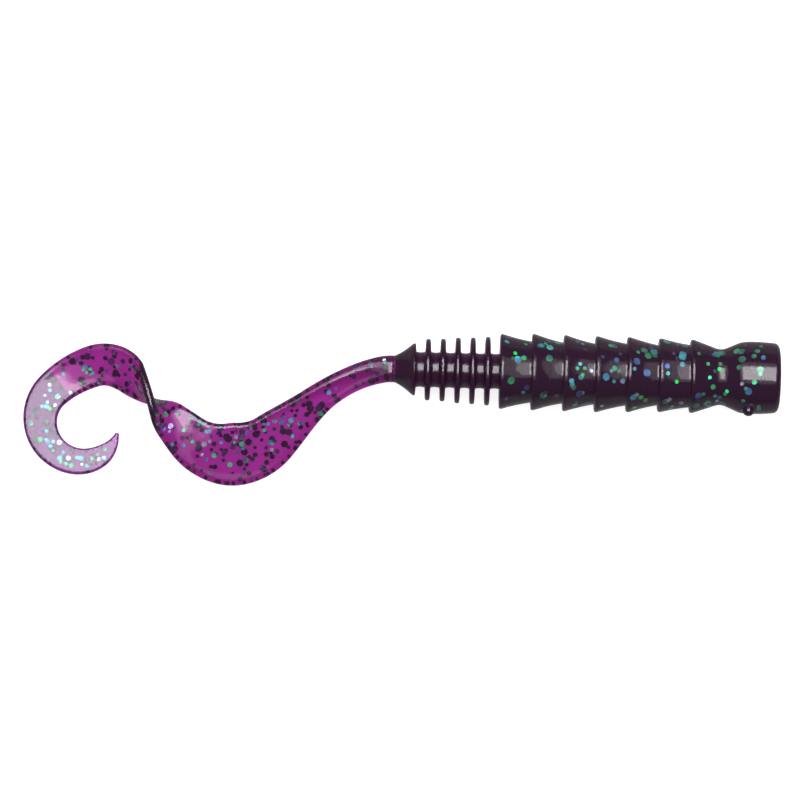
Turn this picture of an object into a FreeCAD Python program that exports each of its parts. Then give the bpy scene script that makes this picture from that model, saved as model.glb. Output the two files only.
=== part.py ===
"""Soft plastic worm: a ribbed fishing bait with a thin, half-twisted curly tail.

The bait lies on a table.  +X runs along the body to the flat nose, +Z is up, and the origin is
on the table, under the middle of the bait's box.  The body is turned about its own long axis:
a head, seven cone-shaped rings, five thin discs on a slim core and a tail cone.  The tail is a
ribbon that leaves the cone as a round stem, widens into a lobe, stands on edge as it makes half
a turn about its own length, and ends in a flat curl.

Between one stiff section and the next is a short neck, where the soft plastic bends.  Each neck
is a sub-part of its own.  Sizes are in millimetres and degrees.
"""
import FreeCAD, Part
import math
import os
import random
import Sketcher
from FreeCAD import Placement, Rotation, Vector

# Driving dimensions: alias, value, meaning.
SIZES = [
    ("nose_x", 38.1, "nose face, half the bait's length from the origin"),
    ("axis_y", 3.9, "body axis, sideways from the origin"),
    ("axis_z", 3.85, "body axis above the table, the largest ring radius"),
    ("ring_pitch", 3.19, "from one ring's rim to the next"),
    ("ring_neck", 0.9, "length of the flexing neck of a ring"),
    ("rim_round", 0.15, "rounding of a ring's rim"),
    ("head_length", 5.43, "nose face to the flexing waist"),
    ("waist_length", 1.0, "length of the flexing waist behind the head"),
    ("waist_radius", 2.78, "radius of the waist"),
    ("first_rim", 8.95, "nose face to the rim of ring 7"),
    ("head_radius", 3.6, "largest radius of the head"),
    ("head_swell", 3.2, "nose face to the head's largest radius"),
    ("nose_radius", 3.5, "radius of the nose before its edge is rounded"),
    ("nose_round", 0.6, "rounding of the nose's edge"),
    ("gate_radius", 0.6, "radius of the moulding gate's nub"),
    ("gate_x", 3.1, "nose face to the gate nub"),
    ("gate_depth", 3.6, "centre of the gate nub from the body axis towards -Y"),
    ("gate_rise", 1.25, "centre of the gate nub above the body axis"),
    ("core_radius", 1.75, "radius of the core between the discs"),
    ("disc_pitch", 1.495, "from one disc to the next"),
    ("disc_root", 0.62, "thickness of a disc at the core"),
    ("disc_tip", 0.46, "thickness of a disc at its edge"),
    ("disc_round", 0.16, "rounding of a disc's edge"),
    ("disc_gap", 0.92, "first ring's face to the nearest disc"),
    ("cone_length", 2.4, "length of the tail cone"),
    ("cone_radius", 2.6, "rim radius of the tail cone"),
    ("cone_edge", 0.35, "width of the tail cone's rim"),
    ("cone_end", 1.25, "radius of the tail cone where the stem leaves it"),
]
RING_RIMS = [3.75, 3.85, 3.85, 3.85, 3.8, 3.7, 3.7]        # rim radii, ring 1 (tail side) to ring 7
RING_ENDS = [3.05, 3.05, 3.05, 3.1, 3.0, 3.1]              # radii where each ring meets the next
DISC_RADII = [3.05, 3.1, 3.25, 3.3, 3.4]                   # disc 1 (tail side) to disc 5

# The tail's plan: arcs as (length, turn), seen from above and followed from the cone to the tip.
# A positive turn swings the tail towards -Y while it runs along -X.
TAIL_ARCS = [
    (1.0, 12.0), (3.0, 13.0), (5.0, 16.5), (5.4, 1.0),
    (9.2, -85.0), (8.4, -5.0),
    (4.2, 66.0), (4.7, 25.0), (9.0, 122.0), (6.1, 92.0),
]
# Knots of (distance along the plan, value) for the ribbon's section, height and turn.
TAIL_WIDTH = [(0, 2.7), (5, 2.7), (9, 3.4), (14, 5.4), (18, 6.5), (20, 6.3), (24, 4.7),
              (27, 3.9), (33, 4.4), (37, 4.2), (42, 3.7), (48, 3.0), (53, 2.2), (56, 0.7)]
TAIL_THICKNESS = [(0, 2.0), (3, 1.35), (6, 1.1), (12, 0.9), (20, 0.85), (33, 0.8), (42, 0.6),
                  (56, 0.5)]
TAIL_HEIGHT = [(0, 3.85), (6, 3.2), (17, 1.25), (22, 1.8), (28, 2.7), (34, 1.4), (39, 0.48),
               (44, 0.33), (56, 0.27)]
TAIL_TURN = [(0, 0), (3, 0), (8, -9), (14, -12), (21, -11), (23, 0), (25, 9), (26.5, 28),
             (28.5, 84), (30.5, 122), (33, 156), (36, 171), (40, 180), (56, 180)]      # degrees
TAIL_JOINTS = 7
TAIL_NECK = 1.5
SECTION_STEP = 0.7

# Glitter: flakes are hexagonal plates of the two common grades, scattered by a fixed seed.
FLAKE_THICKNESS = 0.08
FLAKE_RADII = [0.22, 0.3, 0.42]
FLAKE_SPACING = 0.9
HEAD_FLAKES = 14
RING_FLAKES = 8
TAIL_FLAKES = 4
TIP_MARGINS = 6

chance = random.Random(3)
doc = FreeCAD.newDocument("SoftPlasticWorm")
sheet = doc.addObject("Spreadsheet::Sheet", "Sizes")


def fill_sheet():
    """Write the driving dimensions to the sheet, one aliased row each."""
    rows = list(SIZES)
    for number, (rim, disc) in enumerate(zip(RING_RIMS, DISC_RADII + [None, None]), start=1):
        rows.append((f"rim_radius_{number}", rim, f"rim radius of ring {number}"))
        if disc:
            rows.append((f"disc_radius_{number}", disc, f"radius of disc {number}"))
    for number, radius in enumerate(RING_ENDS, start=1):
        rows.append((f"end_radius_{number}", radius, f"radius where ring {number} meets the next"))
    for row, (alias, value, meaning) in enumerate(rows, start=1):
        sheet.set(f"A{row}", meaning)
        sheet.set(f"B{row}", str(value))
        sheet.setAlias(f"B{row}", alias)
    doc.recompute()


def size(alias):
    """A driving dimension as a number."""
    return float(sheet.get(alias))


# ---------------------------------------------------------------- turned sections of the body

def turned_body(label, corners, x):
    """A PartDesign body turned about X from a closed half-profile.

    corners are (along, radius) pairs of sheet expressions; "0" puts a corner on an axis.
    x is the expression of the section's place along the body.
    """
    body = doc.addObject("PartDesign::Body", label)
    body.Label = label
    sketch = body.newObject("Sketcher::SketchObject", label + "_profile")
    planes = {plane.Role: plane for plane in body.Origin.OriginFeatures}
    sketch.AttachmentSupport = (planes["XY_Plane"], "")
    sketch.MapMode = "FlatFace"
    points = [Vector(expression_value(along), expression_value(radius), 0)
              for along, radius in corners]
    for start, end in zip(points, points[1:] + points[:1]):
        sketch.addGeometry(Part.LineSegment(start, end), False)
    for line in range(len(points)):
        after = (line + 1) % len(points)
        sketch.addConstraint(Sketcher.Constraint("Coincident", line, 2, after, 1))
    for line, (along, radius) in enumerate(corners):
        tie_corner(sketch, line, "DistanceX", along)
        tie_corner(sketch, line, "DistanceY", radius)
    turn = body.newObject("PartDesign::Revolution", label + "_turned")
    turn.Profile = sketch
    turn.ReferenceAxis = (sketch, ["H_Axis"])
    turn.Angle = 360.0
    body.Placement = Placement(Vector(0, size("axis_y"), size("axis_z")), Rotation())
    body.setExpression("Placement.Base.x", x)
    body.setExpression("Placement.Base.y", "Sizes.axis_y")
    body.setExpression("Placement.Base.z", "Sizes.axis_z")
    doc.recompute()
    return body


def expression_value(expression):
    """The number that an expression of the sheet's cells gives."""
    if expression == "0":
        return 0.0
    result = sheet.evalExpression(expression.replace("Sizes.", ""))
    return float(getattr(result, "Value", result))


def tie_corner(sketch, line, kind, expression):
    """Hold a profile corner on an axis, or bind its distance from the origin to the sheet."""
    if expression == "0":
        axis = -2 if kind == "DistanceX" else -1
        sketch.addConstraint(Sketcher.Constraint("PointOnObject", line, 1, axis))
        return
    value = expression_value(expression)
    index = sketch.addConstraint(Sketcher.Constraint(kind, -1, 1, line, 1, value))
    sketch.setExpression(f"Constraints[{index}]", expression)


def round_edges(body, radius_alias, wanted):
    """Round the circular edges of a turned body that lie at the wanted (x, radius) places."""
    base = body.Tip
    names = []
    for number, edge in enumerate(base.Shape.Edges, start=1):
        curve = edge.Curve
        if not isinstance(curve, Part.Circle):
            continue
        for along, radius in wanted:
            if abs(curve.Center.x - along) < 1e-4 and abs(curve.Radius - radius) < 1e-4:
                names.append(f"Edge{number}")
    fillet = body.newObject("PartDesign::Fillet", body.Name + "_rounded")
    fillet.Base = (base, names)
    fillet.Radius = size(radius_alias)
    fillet.setExpression("Radius", "Sizes." + radius_alias)
    body.Tip = fillet
    doc.recompute()


def rim_place(number):
    """Expression for the X of a ring's rim face; ring 7 is behind the head."""
    steps = len(RING_RIMS) - number
    return f"Sizes.nose_x - Sizes.first_rim - {steps} * Sizes.ring_pitch"


def make_head():
    """The head: a flat nose with a rounded edge, a swell, and a taper to the waist."""
    corners = [
        ("0", "0"),
        ("0", "Sizes.nose_radius"),
        ("-Sizes.head_swell * 0.4", "(Sizes.nose_radius + 2 * Sizes.head_radius) / 3"),
        ("-Sizes.head_swell", "Sizes.head_radius"),
        ("-Sizes.head_length", "Sizes.waist_radius"),
        ("-Sizes.head_length", "0"),
    ]
    head = turned_body("head", corners, "Sizes.nose_x")
    round_edges(head, "nose_round", [(0.0, size("nose_radius"))])
    return head


def make_gate_nub(head):
    """The stub left by the moulding gate: a bead that stands out of the head's side."""
    bead = doc.addObject("Part::Sphere", "gate_bead")
    bead.setExpression("Radius", "Sizes.gate_radius")
    bead.Placement = Placement()
    bead.setExpression("Placement.Base.x", "Sizes.nose_x - Sizes.gate_x")
    bead.setExpression("Placement.Base.y", "Sizes.axis_y - Sizes.gate_depth")
    bead.setExpression("Placement.Base.z", "Sizes.axis_z + Sizes.gate_rise")
    nub = doc.addObject("Part::Cut", "gate_nub")
    nub.Base = bead
    nub.Tool = head
    nub.Label = "gate_nub"
    doc.recompute()
    return nub


def make_rings():
    """Seven cones, each with its wide rim towards the tail, and the necks between them."""
    parts = []
    last = len(RING_RIMS)
    for number in range(1, last + 1):
        rim = f"Sizes.rim_radius_{number}"
        x = rim_place(number)
        if number < last:
            length = "(Sizes.ring_pitch - Sizes.ring_neck)"
            end = f"Sizes.end_radius_{number}"
            taper = f"({rim} - {end}) * Sizes.ring_neck / Sizes.ring_pitch"
            shoulder = f"{end} + {taper}"
            neck_length = "Sizes.ring_neck"
        else:
            length = "(Sizes.first_rim - Sizes.head_length - Sizes.waist_length)"
            end = "Sizes.waist_radius"
            shoulder = end
            neck_length = "Sizes.waist_length"
        corners = [("0", "0"), ("0", rim), (length, shoulder), (length, "0")]
        ring = turned_body(f"ring_{number}", corners, x)
        round_edges(ring, "rim_round", [(0.0, size(f"rim_radius_{number}"))])
        neck = [("0", "0"), ("0", shoulder), (neck_length, end), (neck_length, "0")]
        name = f"ring_neck_{number}" if number < last else "head_neck"
        parts.append(ring)
        parts.append(turned_body(name, neck, f"{x} + {length}"))
    return parts


def disc_place(number):
    """Expression for the X of a disc's middle; disc 5 is next to the first ring."""
    steps = len(DISC_RADII) - number
    first = f"{rim_place(1)} - Sizes.disc_gap - Sizes.disc_root / 2"
    return f"{first} - {steps} * Sizes.disc_pitch"


def make_discs():
    """Five thin discs, and the pieces of slim core that join them, the rings and the cone."""
    parts = []
    count = len(DISC_RADII)
    for number in range(1, count + 1):
        radius = f"Sizes.disc_radius_{number}"
        corners = [
            ("-Sizes.disc_root / 2", "0"),
            ("-Sizes.disc_root / 2", "Sizes.core_radius"),
            ("-Sizes.disc_tip / 2", radius),
            ("Sizes.disc_tip / 2", radius),
            ("Sizes.disc_root / 2", "Sizes.core_radius"),
            ("Sizes.disc_root / 2", "0"),
        ]
        disc = turned_body(f"disc_{number}", corners, disc_place(number))
        tip = size("disc_tip") / 2
        edge = size(f"disc_radius_{number}")
        round_edges(disc, "disc_round", [(-tip, edge), (tip, edge)])
        parts.append(disc)
    gap = "(Sizes.disc_pitch - Sizes.disc_root)"
    for number in range(1, count + 2):
        length = "Sizes.disc_gap" if number == count + 1 else gap
        if number <= count:
            x = f"{disc_place(number)} - Sizes.disc_root / 2 - {gap}"
        else:
            x = f"{disc_place(count)} + Sizes.disc_root / 2"
        core = [("0", "0"), ("0", "Sizes.core_radius"), (length, "Sizes.core_radius"), (length, "0")]
        parts.append(turned_body(f"core_{number}", core, x))
    return parts


def cone_place():
    """Expression for the X of the tail cone's face, which looks towards the discs."""
    return f"{disc_place(1)} - Sizes.disc_root / 2 - (Sizes.disc_pitch - Sizes.disc_root)"


def make_tail_cone():
    """The cone at the end of the body, with its flat face towards the discs."""
    corners = [
        ("0", "0"),
        ("0", "Sizes.cone_radius"),
        ("-Sizes.cone_edge", "Sizes.cone_radius"),
        ("-Sizes.cone_length", "Sizes.cone_end"),
        ("-Sizes.cone_length", "0"),
    ]
    cone = turned_body("tail_cone", corners, cone_place())
    rim = size("cone_radius")
    round_edges(cone, "rim_round", [(0.0, rim), (-size("cone_edge"), rim)])
    return cone


# ---------------------------------------------------------------- the ribbon tail

def eased(knots, at):
    """A smooth curve through knots of (place, value), cubic between them."""
    at = min(max(at, knots[0][0]), knots[-1][0])
    index = 0
    while index < len(knots) - 2 and at > knots[index + 1][0]:
        index += 1
    (x0, y0), (x1, y1) = knots[index], knots[index + 1]
    before = knots[max(index - 1, 0)]
    after = knots[min(index + 2, len(knots) - 1)]
    slope0 = (y1 - before[1]) / (x1 - before[0])
    slope1 = (after[1] - y0) / (after[0] - x0)
    span = x1 - x0
    t = (at - x0) / span
    return ((1 + 2 * t) * (1 - t) ** 2 * y0 + t * (1 - t) ** 2 * span * slope0
            + t * t * (3 - 2 * t) * y1 - t * t * (1 - t) * span * slope1)


def twist(at):
    """How far the ribbon has turned about its own length, in radians."""
    return math.radians(eased(TAIL_TURN, at))


def tail_unit():
    """Plan length of one stiff section of the tail with the neck that leads it."""
    return sum(length for length, turn in TAIL_ARCS) / TAIL_JOINTS


def plan_point(at):
    """Position and heading of the tail's centreline, seen from above, from the cone's end."""
    x = 0.0
    y = 0.0
    heading = 0.0
    left = at
    for length, turn in TAIL_ARCS:
        run = min(left, length)
        bend = math.radians(turn) * run / length
        chord = run if abs(bend) < 1e-9 else run * math.sin(bend / 2) / (bend / 2)
        x -= chord * math.cos(heading + bend / 2)
        y -= chord * math.sin(heading + bend / 2)
        heading += bend
        left -= run
        if left <= 0:
            break
    return x, y, heading


def tail_frame(at):
    """Centre, direction along the ribbon, direction across its width, and its flat's normal."""
    root = Vector(expression_value(cone_place()) - size("cone_length"), size("axis_y"), 0)
    x, y, heading = plan_point(at)
    centre = root + Vector(x, y, eased(TAIL_HEIGHT, at))
    reach = 0.01
    slope = (eased(TAIL_HEIGHT, at + reach) - eased(TAIL_HEIGHT, at - reach)) / (2 * reach)
    along = Vector(-math.cos(heading), -math.sin(heading), slope)
    if at <= 0:
        along.z = 0
    along.normalize()
    level = Vector(math.sin(heading), -math.cos(heading), 0)
    up = level.cross(along)
    if up.z < 0:
        up = up * -1
    across = level * math.cos(twist(at)) + up * math.sin(twist(at))
    return centre, along, across, along.cross(across)


def tail_section(at):
    """The ribbon's outline at a distance along the plan: a slot with round ends."""
    centre, along, across, flat = tail_frame(at)
    half_thickness = eased(TAIL_THICKNESS, at) / 2
    half_straight = max(eased(TAIL_WIDTH, at) / 2 - half_thickness, 0.02)

    def point(sideways, upwards):
        return centre + across * sideways + flat * upwards

    top = [point(-half_straight, half_thickness), point(half_straight, half_thickness)]
    bottom = [point(half_straight, -half_thickness), point(-half_straight, -half_thickness)]
    right_tip = point(half_straight + half_thickness, 0)
    left_tip = point(-half_straight - half_thickness, 0)
    return Part.Wire([
        Part.LineSegment(top[0], top[1]).toShape(),
        Part.Arc(top[1], right_tip, bottom[0]).toShape(),
        Part.LineSegment(bottom[0], bottom[1]).toShape(),
        Part.Arc(bottom[1], left_tip, top[0]).toShape(),
    ])


def make_tail_piece(label, start, end):
    """One stretch of the ribbon, lofted through its sections."""
    steps = max(2, math.ceil((end - start) / SECTION_STEP))
    places = [start + (end - start) * step / steps for step in range(steps + 1)]
    piece = doc.addObject("Part::Feature", label)
    piece.Label = label
    piece.Shape = Part.makeLoft([tail_section(place) for place in places], True, False)
    return piece


def make_tail():
    """The ribbon: seven stiff sections, each led by a short neck that bends."""
    parts = []
    unit = tail_unit()
    for number in range(1, TAIL_JOINTS + 1):
        start = (number - 1) * unit
        parts.append(make_tail_piece(f"tail_neck_{number}", start, start + TAIL_NECK))
        parts.append(make_tail_piece(f"tail_{number}", start + TAIL_NECK, start + unit))
    return parts


# ---------------------------------------------------------------- glitter sealed in the plastic

def flake(centre, normal, radius):
    """One glitter flake: a thin hexagonal plate."""
    spin = Rotation(Vector(0, 0, 1), normal)
    corners = []
    for corner in range(7):
        angle = math.radians(60 * corner)
        corners.append(centre + spin.multVec(Vector(math.cos(angle), math.sin(angle), 0)) * radius)
    face = Part.Face(Part.makePolygon(corners))
    lift = spin.multVec(Vector(0, 0, FLAKE_THICKNESS))
    return face.extrude(lift)


def spaced(centre, others):
    """Whether a flake's centre is clear of the others in its group."""
    return all((centre - other).Length > FLAKE_SPACING for other in others)


def make_glitter(host, label, candidate, count):
    """A group of separate flakes inside one section; candidate() gives a centre and a normal."""
    centres = []
    flakes = []
    while len(flakes) < count:
        centre, normal = candidate()
        radius = chance.choice(FLAKE_RADII)
        if spaced(centre, centres):
            centres.append(centre)
            flakes.append(flake(centre, normal, radius))
    group = doc.addObject("Part::Feature", label)
    group.Label = label
    group.Shape = Part.makeCompound(flakes)
    inside = group.Shape.common(host.Shape).Volume
    if abs(inside - group.Shape.Volume) > 1e-3:
        raise RuntimeError(f"{label} pokes out of {host.Label}")
    return group


def body_spot(low, high, reach):
    """A random place and tilt inside a turned section, between two X and within a radius."""
    x = chance.uniform(low, high)
    angle = chance.uniform(0, 2 * math.pi)
    radius = reach * math.sqrt(chance.uniform(0.2, 1))
    centre = Vector(x, size("axis_y"), size("axis_z"))
    centre += Vector(0, math.cos(angle), math.sin(angle)) * radius
    normal = Vector(chance.gauss(0, 1), chance.gauss(0, 1), chance.gauss(0, 1))
    return centre, normal.normalize()


def tail_spot(start, end):
    """A random place in the middle plane of the ribbon, lying flat in it."""
    at = chance.uniform(start, end)
    centre, along, across, flat = tail_frame(at)
    reach = eased(TAIL_WIDTH, at) / 2 - eased(TAIL_THICKNESS, at) / 2 - FLAKE_RADII[-1]
    sideways = chance.uniform(-1, 1) * max(reach, 0.0)
    return centre + across * sideways - flat * (FLAKE_THICKNESS / 2), flat


def make_all_glitter(by_label):
    """Flakes in the head, the rings and the stiff sections of the tail."""
    groups = []
    margin = FLAKE_RADII[-1] + FLAKE_THICKNESS
    nose = size("nose_x")
    reach = size("waist_radius") - margin
    groups.append(make_glitter(
        by_label["head"], "head_glitter",
        lambda: body_spot(nose - size("head_length") + margin, nose - size("nose_round") - margin,
                          reach),
        HEAD_FLAKES))
    for number in range(1, len(RING_RIMS) + 1):
        ring = by_label[f"ring_{number}"]
        rim = expression_value(rim_place(number))
        end = rim + size("ring_pitch") - size("ring_neck")
        groups.append(make_glitter(
            ring, f"ring_{number}_glitter",
            lambda: body_spot(rim + margin, end - margin, reach),
            RING_FLAKES))
    unit = tail_unit()
    for number in range(1, TAIL_JOINTS + 1):
        start = (number - 1) * unit + TAIL_NECK + margin
        end = number * unit - margin * (TIP_MARGINS if number == TAIL_JOINTS else 1)
        groups.append(make_glitter(
            by_label[f"tail_{number}"], f"tail_{number}_glitter",
            lambda: tail_spot(start, end),
            TAIL_FLAKES))
    return groups


# ---------------------------------------------------------------- joints' places, checks, files

def body_hinges():
    """Bending places of the body, from the head to the cone: (child section, X)."""
    hinges = [("ring_7", size("nose_x") - size("head_length") - size("waist_length") / 2)]
    for number in range(len(RING_RIMS) - 1, 0, -1):
        x = expression_value(rim_place(number + 1)) - size("ring_neck") / 2
        hinges.append((f"ring_{number}", x))
    gap = size("disc_pitch") - size("disc_root")
    for number in range(len(DISC_RADII), 0, -1):
        face = expression_value(disc_place(number)) + size("disc_root") / 2
        reach = size("disc_gap") if number == len(DISC_RADII) else gap
        hinges.append((f"disc_{number}", face + reach / 2))
    hinges.append(("tail_cone", expression_value(cone_place()) + gap / 2))
    return hinges


def tail_hinges():
    """Bending places of the tail: (child section, centre, direction across the ribbon)."""
    unit = tail_unit()
    hinges = []
    for number in range(1, TAIL_JOINTS + 1):
        at = (number - 1) * unit + TAIL_NECK / 2
        centre, along, across, flat = tail_frame(at)
        hinges.append((f"tail_{number}", centre, across))
    return hinges


def check(parts):
    """Stop if any object failed or any sub-part is not a sound solid."""
    for item in doc.Objects:
        if "Invalid" in item.State or "Error" in item.State:
            raise RuntimeError(f"{item.Label} failed: {item.State}")
    for part in parts:
        shape = part.Shape
        if shape.isNull() or not shape.isValid() or shape.Volume <= 0:
            raise RuntimeError(f"{part.Label} is not a sound solid")


def export(parts):
    """Write each sub-part to parts/NODE.step."""
    os.makedirs("parts", exist_ok=True)
    for part in parts:
        part.Shape.exportStep(f"parts/{part.Label}.step")


fill_sheet()
head = make_head()
sub_parts = [head, make_gate_nub(head)]
sub_parts += make_rings()
sub_parts += make_discs()
sub_parts.append(make_tail_cone())
sub_parts += make_tail()
sub_parts += make_all_glitter({part.Label: part for part in sub_parts})
doc.recompute()
check(sub_parts)
export(sub_parts)

box = FreeCAD.BoundBox()
for part in sub_parts:
    box.add(part.Shape.BoundBox)
    print(f"{part.Label:14s} {part.Shape.Volume:9.3f} mm3")
print(f"{len(sub_parts)} sub-parts, box {box}")
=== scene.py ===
"""Looks of the soft plastic worm: clear violet plastisol with glitter, on a pale floor.

Every moulded section is a closed mesh of its own.  Where two sections meet inside the plastic,
their faces are marked as seams, which the material leaves clear, so that the plastic reads as one.
"""
import math
import random

import bpy
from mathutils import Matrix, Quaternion, Vector


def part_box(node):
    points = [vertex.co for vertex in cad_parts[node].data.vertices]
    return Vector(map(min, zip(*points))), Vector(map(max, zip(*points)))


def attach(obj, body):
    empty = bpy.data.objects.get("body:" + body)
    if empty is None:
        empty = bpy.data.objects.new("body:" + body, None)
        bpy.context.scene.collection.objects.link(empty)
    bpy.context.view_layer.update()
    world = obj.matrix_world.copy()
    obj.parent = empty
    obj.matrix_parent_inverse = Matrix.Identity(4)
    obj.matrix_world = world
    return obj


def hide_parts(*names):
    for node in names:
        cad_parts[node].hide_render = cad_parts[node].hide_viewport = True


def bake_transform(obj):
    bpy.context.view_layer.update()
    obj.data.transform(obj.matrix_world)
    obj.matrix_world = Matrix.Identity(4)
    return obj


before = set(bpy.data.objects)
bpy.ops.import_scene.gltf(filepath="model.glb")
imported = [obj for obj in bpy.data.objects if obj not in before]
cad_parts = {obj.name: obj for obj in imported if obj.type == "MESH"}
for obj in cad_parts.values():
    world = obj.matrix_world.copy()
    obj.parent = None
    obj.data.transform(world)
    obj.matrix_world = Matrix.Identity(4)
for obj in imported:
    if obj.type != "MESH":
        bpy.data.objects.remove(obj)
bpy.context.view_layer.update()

MM = 0.001
GAP = 0.001 * MM                 # half of the space left between two sections that touch
chance = random.Random(11)

# ---------------------------------------------------------------- places taken from the frame


def low(node, axis):
    """Lowest coordinate of a CAD node along an axis (0, 1 or 2)."""
    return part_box(node)[0][axis]


def high(node, axis):
    """Highest coordinate of a CAD node along an axis."""
    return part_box(node)[1][axis]


def radius_of(node):
    """Radius of a turned CAD node."""
    return (high(node, 2) - low(node, 2)) / 2


AXIS_Y = (low("ring_3", 1) + high("ring_3", 1)) / 2
AXIS_Z = (low("ring_3", 2) + high("ring_3", 2)) / 2
NOSE_X = high("head", 0)
RINGS = 7
DISCS = 5
TAILS = 7

# ---------------------------------------------------------------- materials


def new_material(name):
    """An empty node material."""
    material = bpy.data.materials.new(name)
    material.use_nodes = True
    material.node_tree.nodes.clear()
    return material


def add(material, kind, **values):
    """A node of a material, with its properties and inputs set by name."""
    node = material.node_tree.nodes.new("ShaderNode" + kind)
    for key, value in values.items():
        if key in node.inputs:
            node.inputs[key].default_value = value
        else:
            setattr(node, key, value)
    return node


def join(material, start, end):
    """Link one socket to another."""
    material.node_tree.links.new(start, end)


RIPPLE_SCALE = 420.0             # the orange-peel surface, in waves to the metre
RIPPLE_DEPTH = 0.06 * MM
GRAIN_SCALE = 4200.0             # finer grain on top of it
GRAIN_DEPTH = 0.01 * MM
GRAIN_STRENGTH = 0.25
ROUGHNESS = 0.06
SURFACE_COLOUR = (0.72, 0.22, 0.68, 1)
PLASTISOL_IOR = 1.46
CLEARNESS = 0.98
VIOLET = (0.68, 0.15, 0.64)      # what the plastic lets through
# the curl's tint, darker than the rest of the plastic as painted shade
CURL_SHADED_VIOLET = (0.44, 0.10, 0.52)


def plastic(name, density, colour, rippling):
    """Clear tinted plastisol: glass with absorption, a soft orange-peel surface, clear seams."""
    material = new_material(name)
    place = add(material, "TexCoord")
    ripple = add(material, "TexNoise", Scale=RIPPLE_SCALE, Detail=2.0, Roughness=0.5)
    grain = add(material, "TexNoise", Scale=GRAIN_SCALE, Detail=3.0, Roughness=0.6)
    join(material, place.outputs["Object"], ripple.inputs["Vector"])
    join(material, place.outputs["Object"], grain.inputs["Vector"])
    swell = add(material, "Bump", Strength=rippling, Distance=RIPPLE_DEPTH)
    join(material, ripple.outputs["Fac"], swell.inputs["Height"])
    fine = add(material, "Bump", Strength=GRAIN_STRENGTH, Distance=GRAIN_DEPTH)
    join(material, grain.outputs["Fac"], fine.inputs["Height"])
    join(material, swell.outputs["Normal"], fine.inputs["Normal"])
    matt = add(material, "MapRange")
    matt.inputs["To Min"].default_value = ROUGHNESS * 0.6
    matt.inputs["To Max"].default_value = ROUGHNESS * 1.7
    join(material, ripple.outputs["Fac"], matt.inputs["Value"])
    skin = add(material, "BsdfPrincipled")
    skin.inputs["Base Color"].default_value = SURFACE_COLOUR
    skin.inputs["Transmission Weight"].default_value = CLEARNESS
    skin.inputs["IOR"].default_value = PLASTISOL_IOR
    join(material, matt.outputs["Result"], skin.inputs["Roughness"])
    join(material, fine.outputs["Normal"], skin.inputs["Normal"])
    clear = add(material, "BsdfTransparent")
    seam = add(material, "Attribute", attribute_name="seam")
    path = add(material, "LightPath")
    either = add(material, "Math", operation="MAXIMUM")
    join(material, seam.outputs["Fac"], either.inputs[0])
    join(material, path.outputs["Is Shadow Ray"], either.inputs[1])
    surface = add(material, "MixShader")
    join(material, either.outputs["Value"], surface.inputs["Fac"])
    join(material, skin.outputs["BSDF"], surface.inputs[1])
    join(material, clear.outputs["BSDF"], surface.inputs[2])
    tint = add(material, "VolumeAbsorption", Color=(*colour, 1), Density=density)
    out = add(material, "OutputMaterial")
    join(material, surface.outputs["Shader"], out.inputs["Surface"])
    join(material, tint.outputs["Volume"], out.inputs["Volume"])
    return material


def foil(name, dark, light, metallic, roughness):
    """Glitter foil: a metal film with patches of lighter and darker dye."""
    material = new_material(name)
    place = add(material, "TexCoord")
    patches = add(material, "TexNoise", Scale=900.0, Detail=2.0)
    join(material, place.outputs["Object"], patches.inputs["Vector"])
    ramp = add(material, "ValToRGB")
    ramp.color_ramp.elements[0].position = 0.35
    ramp.color_ramp.elements[0].color = (*dark, 1)
    ramp.color_ramp.elements[1].position = 0.65
    ramp.color_ramp.elements[1].color = (*light, 1)
    join(material, patches.outputs["Fac"], ramp.inputs["Fac"])
    film = add(material, "BsdfPrincipled")
    film.inputs["Metallic"].default_value = metallic
    film.inputs["Roughness"].default_value = roughness
    join(material, ramp.outputs["Color"], film.inputs["Base Color"])
    out = add(material, "OutputMaterial")
    join(material, film.outputs["BSDF"], out.inputs["Surface"])
    return material


PLASTIC = plastic("violet_plastisol", 4200.0, VIOLET, 0.25)
RIBBON_PLASTIC = plastic("violet_plastisol_ribbon", 4200.0, VIOLET, 0.06)
# Painted shade: the curl lies on the floor, where light passes it twice, so a denser, darker copy
# of the plastic stands in for that shade.
CURL_SHADED_PLASTIC = plastic("violet_plastisol_curl_painted_shade", 5000.0, CURL_SHADED_VIOLET, 0.06)
CURL_STRETCHES = (6, 7)
GATE_PLASTIC = plastic("violet_plastisol_gate", 16000.0, VIOLET, 0.1)
FOILS = [
    foil("foil_green", (0.0, 0.55, 0.06), (0.02, 1.0, 0.16), 0.6, 0.35),
    foil("foil_turquoise", (0.0, 0.60, 0.22), (0.05, 1.0, 0.40), 0.6, 0.35),
    foil("foil_blue", (0.005, 0.13, 0.11), (0.02, 0.42, 0.30), 0.6, 0.35),
    foil("foil_black", (0.003, 0.008, 0.006), (0.008, 0.09, 0.045), 0.3, 0.3),
    foil("foil_silver", (0.12, 0.80, 0.34), (0.32, 1.0, 0.52), 0.9, 0.25),
]
GREEN, TURQUOISE, BLUE, BLACK, SILVER = range(5)
BODY_MIX = [GREEN] * 11 + [TURQUOISE] * 5 + [BLUE] * 4 + [BLACK] * 3 + [SILVER]
# real glitter colours; this brighter mix goes in the curl's flat middle as painted highlight
CURL_MIX = [SILVER] * 2 + [TURQUOISE] * 3 + [GREEN] * 3 + [BLUE] + [BLACK] * 5
TAIL_MIX = [BLACK] * 26 + [GREEN] * 2 + [TURQUOISE] * 2 + [BLUE] * 2 + [SILVER] * 2

# ---------------------------------------------------------------- mesh helpers


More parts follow.
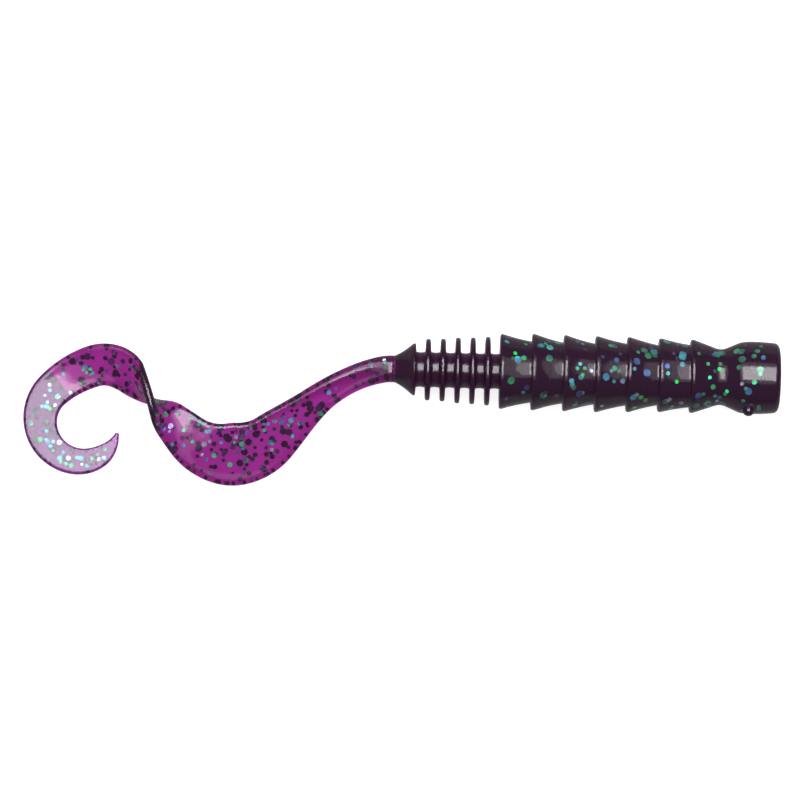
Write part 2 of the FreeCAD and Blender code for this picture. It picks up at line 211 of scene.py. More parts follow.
def finish_mesh(name, points, faces, seam_faces, sharp_loops, material):
    """A smooth mesh object, with its seam faces marked and the edges round them sharp."""
    mesh = bpy.data.meshes.new(name)
    mesh.from_pydata(points, [], faces)
    mesh.validate()
    mesh.polygons.foreach_set("use_smooth", [True] * len(mesh.polygons))
    seam = mesh.attributes.new("seam", "FLOAT", "FACE")
    marks = [0.0] * len(faces)
    for face in seam_faces:
        marks[face] = 1.0
    seam.data.foreach_set("value", marks)
    sharp_edges = {tuple(sorted(pair)) for loop in sharp_loops
                   for pair in zip(loop, loop[1:] + loop[:1])}
    for edge in mesh.edges:
        if tuple(sorted(edge.vertices)) in sharp_edges:
            edge.use_edge_sharp = True
    mesh.materials.append(material)
    piece = bpy.data.objects.new(name, mesh)
    bpy.context.scene.collection.objects.link(piece)
    return piece


# ---------------------------------------------------------------- the turned body

AROUND = 96
PARTING_RIDGE = 0.035 * MM       # height of the fine line left where the mould's halves met
PARTING_STEPS = (-1.5, -0.7, 0.7, 1.5)


def angles_around():
    """Angles of the body's lengthwise lines, closer together at the two parting lines."""
    degrees = {360.0 * step / AROUND for step in range(AROUND)}
    for side in (0.0, 180.0):
        degrees.update((side + offset) % 360 for offset in PARTING_STEPS)
    return [math.radians(angle) for angle in sorted(degrees)]


ANGLES = angles_around()


def parting(angle):
    """Height of the parting line at an angle; angle 0 is +Y."""
    side = min(abs(math.sin(angle / 2)), abs(math.cos(angle / 2))) * 2
    return PARTING_RIDGE * math.exp(-(side / math.radians(0.8)) ** 2)


def uneven(x, angle):
    """Small, slow unevenness of a soft moulding, as a share of the radius."""
    turn = x / (4.1 * MM)
    return (0.006 * math.sin(2 * angle + turn) + 0.004 * math.sin(3 * angle - 1.7 * turn)
            + 0.003 * math.sin(5 * angle + 2.3 * turn))


def body_point(x, radius, angle):
    """A point of the body's surface."""
    if radius > 0:
        radius = radius * (1 + uneven(x, angle)) + parting(angle) * min(1, radius / (3 * MM))
    return (x, AXIS_Y + radius * math.cos(angle), AXIS_Z + radius * math.sin(angle))


def turned(name, rows, joins):
    """A closed turned mesh through rows of (x, radius), from the axis and back to it.

    joins holds the rows that start a stretch lying against the next section.
    """
    points = []
    starts = []
    for x, radius in rows:
        starts.append(len(points))
        if radius == 0:
            points.append((x, AXIS_Y, AXIS_Z))
        else:
            points.extend(body_point(x, radius, angle) for angle in ANGLES)
    count = len(ANGLES)
    faces = []
    seam_faces = []
    sharp = []
    for row in range(len(rows) - 1):
        here, there = starts[row], starts[row + 1]
        for step in range(count):
            after = (step + 1) % count
            if rows[row][1] == 0:
                face = (here, there + after, there + step)
            elif rows[row + 1][1] == 0:
                face = (here + step, here + after, there)
            else:
                face = (here + step, here + after, there + after, there + step)
            if row in joins:
                seam_faces.append(len(faces))
            faces.append(face)
        if row in joins:
            for edge_row in (row, row + 1):
                if rows[edge_row][1] > 0 and not (edge_row in joins and edge_row - 1 in joins):
                    sharp.append([starts[edge_row] + step for step in range(count)])
    return finish_mesh(name, points, faces, seam_faces, sharp, PLASTIC)


def arc_rows(x, radius, reach, start, end, steps):
    """Rows along an arc about (x, radius); 0 degrees points to +X and 90 away from the axis."""
    rows = []
    for step in range(steps + 1):
        angle = math.radians(start + (end - start) * step / steps)
        rows.append((x + reach * math.cos(angle), radius + reach * math.sin(angle)))
    return rows


FILLET = 0.1 * MM                # where a section grows out of the next one's face


def flare(x, radius):
    """Rows that widen into the next section's face at x, and the cap that lies against it."""
    return [(x - FILLET, radius), (x - 0.5 * FILLET, radius + 0.14 * FILLET),
            (x - 0.15 * FILLET, radius + 0.45 * FILLET), (x - GAP, radius + FILLET),
            (x - GAP, 0)]


RING_ENDS = [3.05, 3.05, 3.05, 3.1, 3.0, 3.1]
RIM_ROUND = 0.17 * MM
RIM_LAND = 0.1 * MM              # narrow flat along a rim's edge
FACE_HOLLOW = 0.06 * MM          # how far a ring's rim face is hollowed
CORE = radius_of("core_3")


def ring_start(number, joined):
    """Rows of a ring's rim face and rim, from the cap against the section behind it."""
    x = low(f"ring_{number}", 0)
    rim = radius_of(f"ring_{number}")
    middle = (joined + rim) / 2
    rows = [(x + GAP, 0), (x + GAP, joined), (x + FACE_HOLLOW * 0.8, middle),
            (x + FACE_HOLLOW * 0.5, rim - 1.6 * RIM_ROUND)]
    rows += arc_rows(x + RIM_ROUND, rim - RIM_ROUND, RIM_ROUND, 175, 92, 7)
    rows += arc_rows(x + RIM_ROUND + RIM_LAND, rim - RIM_ROUND, RIM_ROUND, 90, 78, 2)
    return rows


def taper(x0, r0, x1, r1, sag, steps):
    """Rows from one radius to another along a slightly hollow slope, ends left out."""
    rows = []
    for step in range(1, steps):
        t = step / steps
        rows.append((x0 + (x1 - x0) * t, r0 + (r1 - r0) * t - sag * math.sin(math.pi * t)))
    return rows


def behind_ring(number):
    """Radius at which the section behind a ring joins its rim face."""
    return (RING_ENDS[number - 2] * MM if number > 1 else CORE) + FILLET


# Rings whose list of bodies names the body in front first; bend_ring works the list out
# but makes no blend from it.  The order makes no difference to the shape that is meant, but
# rounding in the posing throws ring 1's neck off at all_min and all_max when ring 1 is named
# first.  With a blend, this order avoids that and doesn't mend it: ring 4's neck is off either
# way.
FRONT_FIRST = {1}


def bend_ring(piece, number):
    """Bake a ring's piece into place; the neck's ends and the rings either side are worked out but
    not used.
    """
    neck = f"ring_neck_{number}"
    bodies = [f"ring_{number}", f"ring_{number + 1}"]
    ends = [(low(neck, 0), AXIS_Y, AXIS_Z), (high(neck, 0), AXIS_Y, AXIS_Z)]
    if number in FRONT_FIRST:
        bodies.reverse()
        ends.reverse()
    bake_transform(piece)


def make_ring(number):
    """Rings 1 to 6: rim, cone and the narrow end that runs into the next ring."""
    rows = ring_start(number, behind_ring(number))
    end_x = high(f"ring_neck_{number}", 0)
    end_radius = RING_ENDS[number - 1] * MM
    x0, r0 = rows[-1]
    rows += taper(x0, r0, end_x - FILLET, end_radius, 0.05 * MM, 16)
    rows += flare(end_x, end_radius)
    piece = turned(f"ring_{number}_plastic", rows, {0, len(rows) - 2})
    bend_ring(piece, number)
    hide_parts(f"ring_{number}", f"ring_neck_{number}")
    return rows


NOSE_EDGE = 0.6                  # rounding of the nose's edge, in millimetres
HEAD_START = 8.55                # how far behind the nose the head's own rows start
HEAD_STEP = 0.15
HEAD_ROWS = 53


def head_radius(x):
    """Radius of the head and waist at a distance behind the nose, in millimetres."""
    knots = [(0.6, 3.49), (1.2, 3.54), (2.2, 3.58), (3.1, 3.58), (3.9, 3.48), (4.6, 3.2),
             (5.3, 2.9), (5.8, 2.76), (6.3, 2.82), (7.0, 3.06), (7.8, 3.34), (8.6, 3.62)]
    return eased(knots, x)


def eased(knots, at):
    """A smooth curve through knots of (place, value), cubic between them."""
    at = min(max(at, knots[0][0]), knots[-1][0])
    index = 0
    while index < len(knots) - 2 and at > knots[index + 1][0]:
        index += 1
    (x0, y0), (x1, y1) = knots[index], knots[index + 1]
    before = knots[max(index - 1, 0)]
    after = knots[min(index + 2, len(knots) - 1)]
    slope0 = (y1 - before[1]) / (x1 - before[0])
    slope1 = (after[1] - y0) / (after[0] - x0)
    span = x1 - x0
    t = (at - x0) / span
    return ((1 + 2 * t) * (1 - t) ** 2 * y0 + t * (1 - t) ** 2 * span * slope0
            + t * t * (3 - 2 * t) * y1 - t * t * (1 - t) * span * slope1)


def make_head():
    """Ring 7, the waist and the head, in one piece."""
    rows = ring_start(RINGS, behind_ring(RINGS))
    behind = [HEAD_START - HEAD_STEP * step for step in range(HEAD_ROWS)]
    edge = NOSE_EDGE * MM
    rows += [(NOSE_X - back * MM, head_radius(back) * MM) for back in behind
             if back * MM > edge + 0.05 * MM]
    rows += arc_rows(NOSE_X - edge, head_radius(NOSE_EDGE) * MM - edge, edge, 88, 4, 10)
    rows += [(NOSE_X - 0.01 * MM, 2.0 * MM), (NOSE_X - 0.03 * MM, 1.0 * MM),
             (NOSE_X - 0.03 * MM, 0)]
    piece = turned("head_plastic", rows, {0})
    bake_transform(piece)
    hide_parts("ring_7", "head_neck", "head")
    return rows


def make_disc(number):
    """A thin disc and the core in front of it."""
    back, front = low(f"disc_{number}", 0), high(f"disc_{number}", 0)
    edge = radius_of(f"disc_{number}")
    middle = (back + front) / 2
    tip = 0.25 * MM
    root = CORE + FILLET
    rows = [(back + GAP, 0), (back + GAP, root), (back + 0.03 * MM, root + 0.3 * MM)]
    rows += [(middle - tip - 0.02 * MM, edge - 1.8 * tip)]
    curl = tip - RIM_LAND / 2
    rows += arc_rows(middle - RIM_LAND / 2, edge - curl, curl, 175, 92, 6)
    rows += arc_rows(middle + RIM_LAND / 2, edge - curl, curl, 88, 5, 6)
    rows += [(middle + tip + 0.02 * MM, edge - 1.8 * tip), (front - 0.03 * MM, root + 0.3 * MM),
             (front, root), (front + 0.3 * FILLET, CORE + 0.3 * FILLET), (front + FILLET, CORE)]
    next_x = high(f"core_{number + 1}", 0)
    rows += taper(front + FILLET, CORE, next_x - FILLET, CORE, 0.04 * MM, 6)
    rows += flare(next_x, CORE)
    piece = turned(f"disc_{number}_plastic", rows, {0, len(rows) - 2})
    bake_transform(piece)
    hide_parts(f"disc_{number}", f"core_{number + 1}")


CONE_END = 1.25 * MM             # radius of the cone's narrow end, where the stem goes in


def make_cone():
    """The tail cone and the core in front of it."""
    end, face = low("tail_cone", 0), high("tail_cone", 0)
    rim = radius_of("tail_cone")
    round_off = 0.15 * MM
    rows = [(end, 0), (end, 0.8 * CONE_END), (end + 0.03 * MM, 0.95 * CONE_END),
            (end + 0.1 * MM, CONE_END)]
    rows += taper(end + 0.1 * MM, CONE_END, face - 0.32 * MM, rim - 0.03 * MM, 0.12 * MM, 14)
    rows += arc_rows(face - round_off - 0.05 * MM, rim - round_off, round_off, 100, 0, 7)
    rows += [(face - 0.02 * MM, CORE + 0.35 * MM), (face, CORE + FILLET),
             (face + 0.3 * FILLET, CORE + 0.3 * FILLET), (face + FILLET, CORE)]
    next_x = high("core_1", 0)
    rows += taper(face + FILLET, CORE, next_x - FILLET, CORE, 0.04 * MM, 6)
    rows += flare(next_x, CORE)
    piece = turned("tail_cone_plastic", rows, {len(rows) - 2})
    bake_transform(piece)
    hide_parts("tail_cone", "core_1")


# ---------------------------------------------------------------- the ribbon tail

# The tail's plan: arcs as (length, turn) in millimetres and degrees, from the cone to the tip.
TAIL_ARCS = [
    (1.0, 12.0), (3.0, 13.0), (5.0, 16.5), (5.4, 1.0),
    (9.2, -85.0), (8.4, -5.0),
    (4.2, 66.0), (4.7, 25.0), (9.0, 122.0), (6.1, 92.0),
]
TAIL_LENGTH = sum(length for length, turn in TAIL_ARCS)
TAIL_UNIT = TAIL_LENGTH / TAILS
TAIL_NECK = 1.5
TAIL_WIDTH = [(0, 2.7), (5, 2.7), (9, 3.4), (14, 5.4), (18, 6.5), (20, 6.3), (24, 4.7),
              (27, 3.9), (33, 4.4), (37, 4.2), (42, 3.7), (48, 3.0), (53, 2.2), (56, 0.35)]
TAIL_HEIGHT = [(0, 3.85), (6, 3.2), (17, 1.25), (22, 1.8), (28, 2.7), (34, 1.4), (39, 0.48),
               (44, 0.33), (56, 0.27)]
# Thickness of the web, and of the beads along the two edges: Q starts on the +Y side, P on the -Y.
WEB = [(0, 1.9), (1.5, 1.35), (3, 1.0), (6, 0.72), (12, 0.66), (20, 0.7), (33, 0.7), (42, 0.6),
       (56, 0.45)]
BEAD_Q = [(0, 2.0), (1.5, 1.7), (3, 1.5), (6, 1.35), (12, 1.05), (20, 0.9), (33, 0.9), (42, 0.66),
          (56, 0.46)]
BEAD_P = [(0, 2.0), (1.5, 1.4), (3, 1.1), (6, 0.85), (12, 0.8), (20, 0.9), (33, 0.95), (42, 0.66),
          (56, 0.46)]
BEAD_SPREAD = 0.55               # how far a bead's bulge reaches into the web, in thicknesses
TAIL_TURN = [(0, 0), (3, 0), (8, -9), (14, -12), (21, -11), (23, 0), (25, 9), (26.5, 28),
             (28.5, 84), (30.5, 122), (33, 156), (36, 171), (40, 180), (56, 180)]      # degrees
ROW_STEP = 0.2
STEM_ROOT = 0.35                 # how far the stem starts inside the tail cone
SIDE_POINTS = 15                 # points across each flat of the ribbon
EDGE_POINTS = 7                  # points round each edge


def plan_point(at):
    """Position and heading of the tail's centreline, seen from above, from the cone's end."""
    x = 0.0
    y = 0.0
    heading = 0.0
    left = at
    for length, turn in TAIL_ARCS:
        run = min(left, length)
        bend = math.radians(turn) * run / length
        chord = run if abs(bend) < 1e-9 else run * math.sin(bend / 2) / (bend / 2)
        x -= chord * math.cos(heading + bend / 2)
        y -= chord * math.sin(heading + bend / 2)
        heading += bend
        left -= run
        if left <= 0:
            break
    return x, y, heading


def twist(at):
    """How far the ribbon has turned about its own length, in radians."""
    return math.radians(eased(TAIL_TURN, at))


def tail_frame(at):
    """Centre, direction along the ribbon, direction across its width, and its flat's normal."""
    x, y, heading = plan_point(at)
    centre = Vector((low("tail_cone", 0) + x * MM, AXIS_Y + y * MM, eased(TAIL_HEIGHT, at) * MM))
    reach = 0.01
    slope = (eased(TAIL_HEIGHT, at + reach) - eased(TAIL_HEIGHT, at - reach)) / (2 * reach)
    along = Vector((-math.cos(heading), -math.sin(heading), slope if at > 0 else 0)).normalized()
    level = Vector((math.sin(heading), -math.cos(heading), 0))
    up = level.cross(along)
    if up.z < 0:
        up = -up
    across = level * math.cos(twist(at)) + up * math.sin(twist(at))
    return centre, along, across, along.cross(across)


def ribbon_section(at):
    """The ribbon's outline at a distance along the plan, as points round it."""
    centre, _, across, flat = tail_frame(at)
    width = eased(TAIL_WIDTH, at) * MM
    web, bead_q, bead_p = (eased(knots, at) * MM for knots in (WEB, BEAD_Q, BEAD_P))
    scale = min(1.0, width / max(bead_q, bead_p) * 0.98)
    web, bead_q, bead_p = web * scale, bead_q * scale, bead_p * scale
    low_end = -width / 2 + bead_q / 2
    high_end = width / 2 - bead_p / 2

    def half_thickness(sideways):
        near_q = math.exp(-((sideways - low_end) / (BEAD_SPREAD * bead_q)) ** 2)
        near_p = math.exp(-((sideways - high_end) / (BEAD_SPREAD * bead_p)) ** 2)
        return (web + (bead_q - web) * near_q + (bead_p - web) * near_p * (1 - near_q)) / 2

    outline = []
    for step in range(SIDE_POINTS):
        sideways = low_end + (high_end - low_end) * step / (SIDE_POINTS - 1)
        outline.append((sideways, half_thickness(sideways)))
    turn = half_thickness(high_end)
    for step in range(1, EDGE_POINTS + 1):
        angle = math.pi / 2 - math.pi * step / (EDGE_POINTS + 1)
        outline.append((high_end + bead_p / 2 * math.cos(angle), turn * math.sin(angle)))
    for step in range(SIDE_POINTS):
        sideways = high_end + (low_end - high_end) * step / (SIDE_POINTS - 1)
        outline.append((sideways, -half_thickness(sideways)))
    turn = half_thickness(low_end)
    for step in range(1, EDGE_POINTS + 1):
        angle = -math.pi / 2 - math.pi * step / (EDGE_POINTS + 1)
        outline.append((low_end + bead_q / 2 * math.cos(angle), turn * math.sin(angle)))
    return [centre + across * sideways + flat * rise for sideways, rise in outline]


def make_tail(number):
    """One stretch of the ribbon, led by its neck."""
    start = (number - 1) * TAIL_UNIT
    steps = round(TAIL_UNIT / ROW_STEP)
    places = [start + TAIL_UNIT * step / steps for step in range(steps + 1)]
    places[0] += GAP / MM if number > 1 else -STEM_ROOT
    places[-1] -= GAP / MM
    sections = [ribbon_section(place) for place in places]
    around = len(sections[0])
    points = [point for section in sections for point in section]
    faces = []
    for row in range(steps):
        for step in range(around):
            after = (step + 1) % around
            here, there = row * around, (row + 1) * around
            faces.append((here + step, there + step, there + after, here + after))
    seam_faces = []
    sharp = []
    for row in (0, steps):
        loop = [row * around + step for step in range(around)]
        seam_faces += cap(faces, loop, row == 0)
        sharp.append(loop)
    if number == TAILS:          # the tip touches nothing, so its cap is skin
        seam_faces = seam_faces[:len(seam_faces) // 2]
    # the curl's stretches take the darker copy of the plastic, as painted shade
    material = CURL_SHADED_PLASTIC if number in CURL_STRETCHES else RIBBON_PLASTIC
    piece = finish_mesh(f"tail_{number}_plastic", points, faces, seam_faces, sharp, material)
    tail_frame(start)[0]
    tail_frame(start + TAIL_NECK)[0]
    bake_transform(piece)
    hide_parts(f"tail_neck_{number}", f"tail_{number}")


def cap(faces, loop, flip):
    """Close an end of the ribbon with quads from one flat to the other; returns their numbers."""
    count = len(loop)
    first = len(faces)
    top = loop[:SIDE_POINTS]
    bottom = loop[SIDE_POINTS + EDGE_POINTS:2 * SIDE_POINTS + EDGE_POINTS][::-1]
    strips = [(top[i], bottom[i], bottom[i + 1], top[i + 1]) for i in range(SIDE_POINTS - 1)]
    p_edge = [top[-1]] + loop[SIDE_POINTS:SIDE_POINTS + EDGE_POINTS] + [bottom[-1]]
    q_edge = [bottom[0]] + loop[2 * SIDE_POINTS + EDGE_POINTS:count] + [top[0]]
    for face in strips + [tuple(p_edge[::-1]), tuple(q_edge[::-1])]:
        faces.append(tuple(reversed(face)) if flip else tuple(face))
    return list(range(first, len(faces)))


# ---------------------------------------------------------------- glitter

FLAKE_THICKNESS = 0.06 * MM
CURL_START = 38.0                # where the flat end of the tail starts
EDGE_SHADE_SHARE = 0.38                # dark flakes set along the ribbon's edges as painted shade, for the dark outline of its rounded edges
BRIGHT_ON_TOP = 0.75             # bright flakes that floated up to the skin
LARGE, MEDIUM, SMALL = 0.42 * MM, 0.3 * MM, 0.22 * MM
HEAD_FLAKES = 120                # flakes in the head and ring 7, and in each ring and stretch
RING_FLAKES = [24, 26, 34, 34, 40, 40]
TAIL_FLAKES = [40, 100, 124, 84, 66, 64, 40]
SHALLOWEST = 0.035 * MM          # least plastic over a flake's tilted edge
FLAKE_DEPTHS = [depth * MM for depth in (0.045, 0.05, 0.06, 0.08, 0.12)]
STEEPEST = 0.4                   # sine of the most that a flake may lean
FIRST_FLAKE = 0.6                # no flake nearer to the cone than this, in millimetres
CURL_LIT_MIDDLE = 0.6                # share of the curl's width that takes its brighter mix, as painted highlight where the flat middle catches the softbox; the edges keep the darker tail mix as painted shade


def add_flake(points, faces, tints, centre, normal, radius, tint):
    """Add one hexagonal flake to the lists of a group."""
    spin = normal.to_track_quat("Z", "Y") @ Quaternion((0, 0, 1), chance.uniform(0, 1.05))
    first = len(points)
    for lift in (-0.5, 0.5):
        for corner in range(6):
            angle = math.radians(60 * corner)
            reach = radius * chance.uniform(0.9, 1.0)
            local = Vector((reach * math.cos(angle), reach * math.sin(angle),
                            lift * FLAKE_THICKNESS))
            points.append(centre + spin @ local)
    faces.append(tuple(first + corner for corner in range(5, -1, -1)))
    faces.append(tuple(first + 6 + corner for corner in range(6)))
    tints += [tint, tint]
    for corner in range(6):
        after = (corner + 1) % 6
        faces.append((first + corner, first + after, first + 6 + after, first + 6 + corner))
        tints.append(tint)


def flake_group(name, points, faces, tints):
    """A mesh of separate flakes, each face with its foil."""
    mesh = bpy.data.meshes.new(name)
    mesh.from_pydata(points, [], faces)
    for material in FOILS:
        mesh.materials.append(material)
    mesh.polygons.foreach_set("material_index", tints)
    group = bpy.data.objects.new(name, mesh)
    bpy.context.scene.collection.objects.link(group)
    return group


def tilted(normal, degrees):
    """A direction leaning away from normal by up to a number of degrees."""
    side = normal.orthogonal().normalized()
    side.rotate(Quaternion(normal, chance.uniform(0, 2 * math.pi)))
    lean = Quaternion(side, math.radians(degrees) * chance.uniform(0, 1))
    return (lean @ normal).normalized()


LEAST_SKIN = 2.5 * MM            # rows nearer to the axis than this lie inside the plastic
SKIN_REACH = 0.2 * MM            # half of the length that a slope is taken over


def skin_at(rows, x):
    """Radius and slope of a turned section's skin at an X."""
    skin = sorted(row for row in rows if row[1] > LEAST_SKIN)
    behind = [row for row in skin if row[0] <= x - SKIN_REACH] or skin[:1]
    ahead = [row for row in skin if row[0] >= x + SKIN_REACH] or skin[-1:]
    (x0, r0), (x1, r1) = behind[-1], ahead[0]
    slope = (r1 - r0) / (x1 - x0)
    return r0 + slope * (x - x0), slope


def body_glitter(name, rows, first_x, last_x, count):
    """Flakes just under the skin of a turned section, between two X."""
    points, faces, tints = [], [], []
    for _ in range(count):
        radius = chance.choice([LARGE, MEDIUM, MEDIUM, SMALL, SMALL])
        x = chance.uniform(first_x, last_x)
        angle = chance.uniform(0, 2 * math.pi)
        skin_radius, slope = skin_at(rows, x)
        depth = chance.choice(FLAKE_DEPTHS)
        lean = math.degrees(math.asin(min(STEEPEST, max(0.0, (depth - SHALLOWEST) / radius))))
        outward = Vector((0, math.cos(angle), math.sin(angle)))
        normal = (outward - Vector((slope, 0, 0))).normalized()
        sagitta = radius ** 2 / (2 * skin_radius)
        centre = Vector((x, AXIS_Y, AXIS_Z)) + outward * (skin_radius - depth - sagitta)
        tint = chance.choice(BODY_MIX)
        add_flake(points, faces, tints, centre, tilted(normal, lean), radius, tint)
    return flake_group(name, points, faces, tints)


def tail_glitter(name, start, end, count):
    """Flakes at all depths of a stretch of the ribbon, lying nearly flat in it."""
    points, faces, tints = [], [], []
    for _ in range(count):
        radius = chance.choice([LARGE, MEDIUM, MEDIUM, SMALL, SMALL, SMALL])
        at = max(FIRST_FLAKE, chance.uniform(start, end))
        centre, _, across, flat = tail_frame(at)
        web = eased(WEB, at) * MM
        reach = max(0.0, eased(TAIL_WIDTH, at) * MM / 2 - radius - 0.05 * MM)
        sideways = chance.uniform(-1, 1) * reach
        room = max(0.0, web / 2 - FLAKE_THICKNESS)
        tint = chance.choice(TAIL_MIX)
        # painted highlight: the curl's flat middle takes the brighter mix, and its edges the
        # darker one as painted shade
        if at > CURL_START and abs(sideways) < CURL_LIT_MIDDLE * reach:
            tint = chance.choice(CURL_MIX)
        # painted shade: some black flakes are moved to the ribbon's edges to darken its outline
        elif tint == BLACK and chance.random() < EDGE_SHADE_SHARE:
            radius = SMALL
            edge = eased(TAIL_WIDTH, at) * MM / 2 - radius - 0.06 * MM
            sideways = math.copysign(max(0.0, edge), sideways)
        rise = chance.uniform(-0.8, 0.8) * room
        if tint != BLACK:        # the bright flakes in the ribbon are of the fine grade
            radius = chance.choice([MEDIUM, SMALL, SMALL, 0.8 * SMALL])
        if tint != BLACK and chance.random() < BRIGHT_ON_TOP:
            rise = math.copysign(0.95 * room, flat.z)
        lean = math.degrees(math.asin(min(STEEPEST, (room - abs(rise)) / radius)))
        place = centre + across * sideways + flat * rise
        add_flake(points, faces, tints, place, tilted(flat, lean), radius, tint)
    return flake_group(name, points, faces, tints)


# ---------------------------------------------------------------- building the worm


def build_body():
    """All turned sections with their glitter."""
    head_rows = make_head()
    group = body_glitter("head_flakes", head_rows, low("ring_7", 0) + 0.55 * MM,
                         NOSE_X - 1.1 * MM, HEAD_FLAKES)
    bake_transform(group)
    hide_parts("head_glitter", "ring_7_glitter")
    for number in range(1, RINGS):
        rows = make_ring(number)
        neck = f"ring_neck_{number}"
        group = body_glitter(f"ring_{number}_flakes", rows, low(f"ring_{number}", 0) + 0.55 * MM,
                             high(neck, 0) - 0.4 * MM, RING_FLAKES[number - 1])
        bend_ring(group, number)
        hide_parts(f"ring_{number}_glitter")
    for number in range(1, DISCS + 1):
        make_disc(number)
    make_cone()


def build_tail():
    """All stretches of the ribbon with their glitter."""
    for number in range(1, TAILS + 1):
        make_tail(number)
        start = (number - 1) * TAIL_UNIT
        last = 2.0 if number == TAILS else 0.0
        group = tail_glitter(f"tail_{number}_flakes", start, start + TAIL_UNIT - last,
                             TAIL_FLAKES[number - 1])
        tail_frame(start)[0]
        tail_frame(start + TAIL_NECK)[0]
        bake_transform(group)
        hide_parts(f"tail_{number}_glitter")


GATE_LEAN = 26.0                 # degrees of the gate bead above the body's side
GATE_AROUND = 40
# The bead's outline as (radius, depth below its tip) in millimetres, dimpled in the middle.
GATE_PROFILE = [(0.0, 0.07), (0.1, 0.04), (0.2, 0.02), (0.32, 0.06), (0.45, 0.16), (0.54, 0.3),
                (0.58, 0.45), (0.58, 0.6), (0.55, 0.78), (0.56, 0.95), (0.62, 1.1), (0.62, 1.4),
                (0.0, 1.4)]


def build_gate_nub():
    """The bead left by the mould's gate, on the head's side: a dome, dimpled where it was torn."""
    lean = math.radians(GATE_LEAN)
    outward = Vector((0, -math.cos(lean), math.sin(lean)))
    upward = Vector((0, math.sin(lean), math.cos(lean)))
    reach = AXIS_Y - low("gate_nub", 1)
    root = Vector(((low("gate_nub", 0) + high("gate_nub", 0)) / 2, AXIS_Y, AXIS_Z))
    tip = root + outward * reach
    profile, around = GATE_PROFILE, GATE_AROUND
    points = [tip - outward * profile[0][1] * MM]
    for radius, depth in profile[1:-1]:
        for step in range(around):
            angle = 2 * math.pi * step / around
            side = Vector((math.cos(angle), 0, 0)) + upward * math.sin(angle)
            points.append(tip - outward * depth * MM + side * radius * MM)
    points.append(tip - outward * profile[-1][1] * MM)
    faces = []
    for step in range(around):
        after = (step + 1) % around
        faces.append((0, 1 + step, 1 + after))
        for row in range(len(profile) - 3):
            here, there = 1 + row * around, 1 + (row + 1) * around
            faces.append((here + step, there + step, there + after, here + after))
        last = len(points) - 1
        faces.append((last, last - around + after, last - around + step))
    nub = finish_mesh("gate_bead", points, faces, [], [], GATE_PLASTIC)
    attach(nub, "head")
    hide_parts("gate_nub")


# ---------------------------------------------------------------- stage, light and camera


FLOOR_REACH = 1.5
FLOOR_DROP = 0.02 * MM
FLOOR_GLOW = 0.8
FLOOR_DIMMING = 0.8              # how much of the floor's light reflections lose
WORLD_STRENGTH = 0.12
LAMP_DISTANCE = 0.6
CAMERA_HEIGHT = 0.5
VIEW_WIDTH = 80.4 * MM
VIEW_SIDEWAYS = 0.08 * MM        # middle of the picture, along X and from the body's axis along Y
VIEW_BELOW = 3.12 * MM
VIEW_ROLL = 1.44                 # degrees


def build_floor():
    """A pale floor under the worm, dimmer in reflections than the camera sees it."""
    mesh = bpy.data.meshes.new("floor")
    reach = FLOOR_REACH
    mesh.from_pydata([(-reach, -reach, 0), (reach, -reach, 0), (reach, reach, 0),
                      (-reach, reach, 0)], [], [(0, 1, 2, 3)])
    floor = bpy.data.objects.new("floor", mesh)
    bpy.context.scene.collection.objects.link(floor)
    floor.location.z = -FLOOR_DROP
    material = new_material("pale_floor")
    paper = add(material, "BsdfPrincipled", Roughness=0.9)
    paper.inputs["Base Color"].default_value = (0.35, 0.35, 0.35, 1)
    paper.inputs["Specular IOR Level"].default_value = 0.1
    paper.inputs["Emission Color"].default_value = (1, 1, 1, 1)
    paper.inputs["Emission Strength"].default_value = FLOOR_GLOW
    dark = add(material, "BsdfDiffuse", Color=(0.02, 0.02, 0.02, 1))
    path = add(material, "LightPath")
    dimmed = add(material, "Math", operation="MULTIPLY")
    dimmed.inputs[1].default_value = FLOOR_DIMMING
    join(material, path.outputs["Is Reflection Ray"], dimmed.inputs[0])
    either = add(material, "MixShader")
    join(material, dimmed.outputs["Value"], either.inputs["Fac"])
    join(material, paper.outputs["BSDF"], either.inputs[1])
    join(material, dark.outputs["BSDF"], either.inputs[2])
    out = add(material, "OutputMaterial")
    join(material, either.outputs["Shader"], out.inputs["Surface"])
    mesh.materials.append(material)


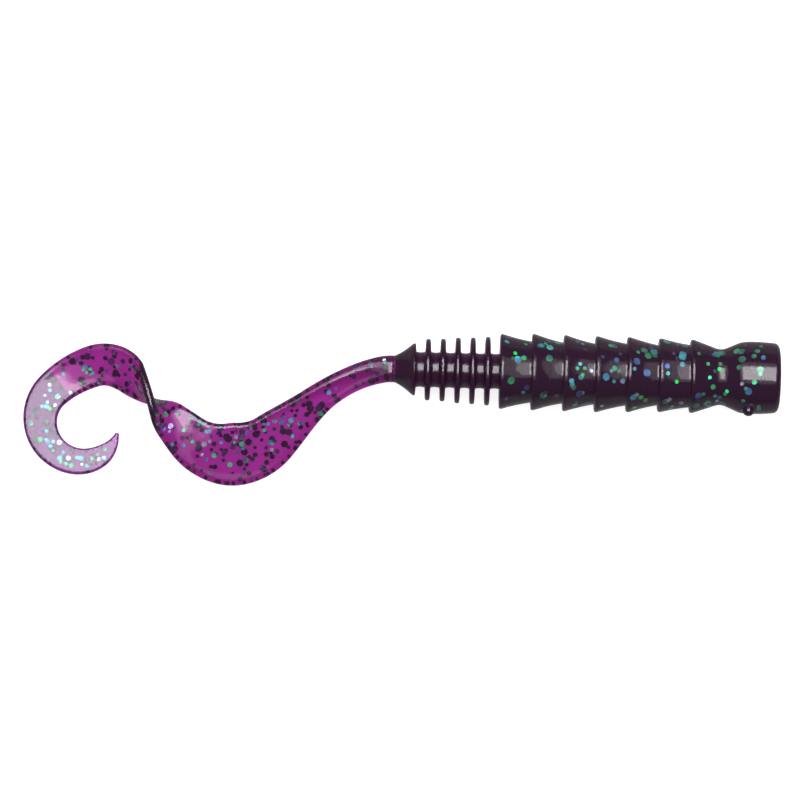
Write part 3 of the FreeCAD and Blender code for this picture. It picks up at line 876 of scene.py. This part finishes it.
def build_world():
    """Dim surroundings for reflections; the camera sees them as white."""
    world = bpy.data.worlds.new("studio")
    bpy.context.scene.world = world
    world.use_nodes = True
    nodes, links = world.node_tree.nodes, world.node_tree.links
    nodes.clear()
    path = nodes.new("ShaderNodeLightPath")
    dim = nodes.new("ShaderNodeBackground")
    dim.inputs["Color"].default_value = (0.97, 0.98, 1.0, 1)
    dim.inputs["Strength"].default_value = WORLD_STRENGTH
    white = nodes.new("ShaderNodeBackground")
    white.inputs["Strength"].default_value = 1.0
    mix = nodes.new("ShaderNodeMixShader")
    out = nodes.new("ShaderNodeOutputWorld")
    links.new(path.outputs["Is Camera Ray"], mix.inputs["Fac"])
    links.new(dim.outputs["Background"], mix.inputs[1])
    links.new(white.outputs["Background"], mix.inputs[2])
    links.new(mix.outputs["Shader"], out.inputs["Surface"])


def aim(thing, target):
    """Turn a lamp or camera to look at a point, with +Y up in its picture."""
    direction = (target - thing.location).normalized()
    thing.rotation_mode = "QUATERNION"
    thing.rotation_quaternion = direction.to_track_quat("-Z", "Y")


def build_softbox(name, near, far, reach, radiance):
    """A softbox on the +Y side, from one angle off the vertical to another.

    reach is how far it goes to each side, as an angle.
    """
    distance = LAMP_DISTANCE
    lean, half = math.radians((near + far) / 2), math.radians((far - near) / 2)
    data = bpy.data.lights.new(name, "AREA")
    data.shape = "RECTANGLE"
    data.size = 2 * distance * math.tan(math.radians(reach))
    data.size_y = 2 * distance * math.tan(half)
    data.energy = radiance * math.pi * data.size * data.size_y
    lamp = bpy.data.objects.new(name, data)
    bpy.context.scene.collection.objects.link(lamp)
    lamp.location = Vector((0, distance * math.sin(lean), distance * math.cos(lean)))
    aim(lamp, Vector((0, 0, 0)))
    lamp.visible_camera = False


def build_camera():
    """Straight above the worm, turned so that the head is a little lower in the picture."""
    data = bpy.data.cameras.new("camera")
    data.sensor_width = 36.0
    data.lens = data.sensor_width * CAMERA_HEIGHT / VIEW_WIDTH
    camera = bpy.data.objects.new("camera", data)
    bpy.context.scene.collection.objects.link(camera)
    camera.location = Vector((VIEW_SIDEWAYS, AXIS_Y - VIEW_BELOW, AXIS_Z + CAMERA_HEIGHT))
    camera.rotation_euler = (0, 0, math.radians(VIEW_ROLL))
    bpy.context.scene.camera = camera


build_body()
build_gate_nub()
build_tail()
build_floor()
build_world()
build_softbox("softbox", -7, 36, 21, 6.0)
build_softbox("softbox_glow", -10, 40, 28.5, 2.6)
build_softbox("softbox_rim", -20, 52, 36, 1.0)
build_camera()
bpy.context.scene.view_settings.view_transform = "Standard"
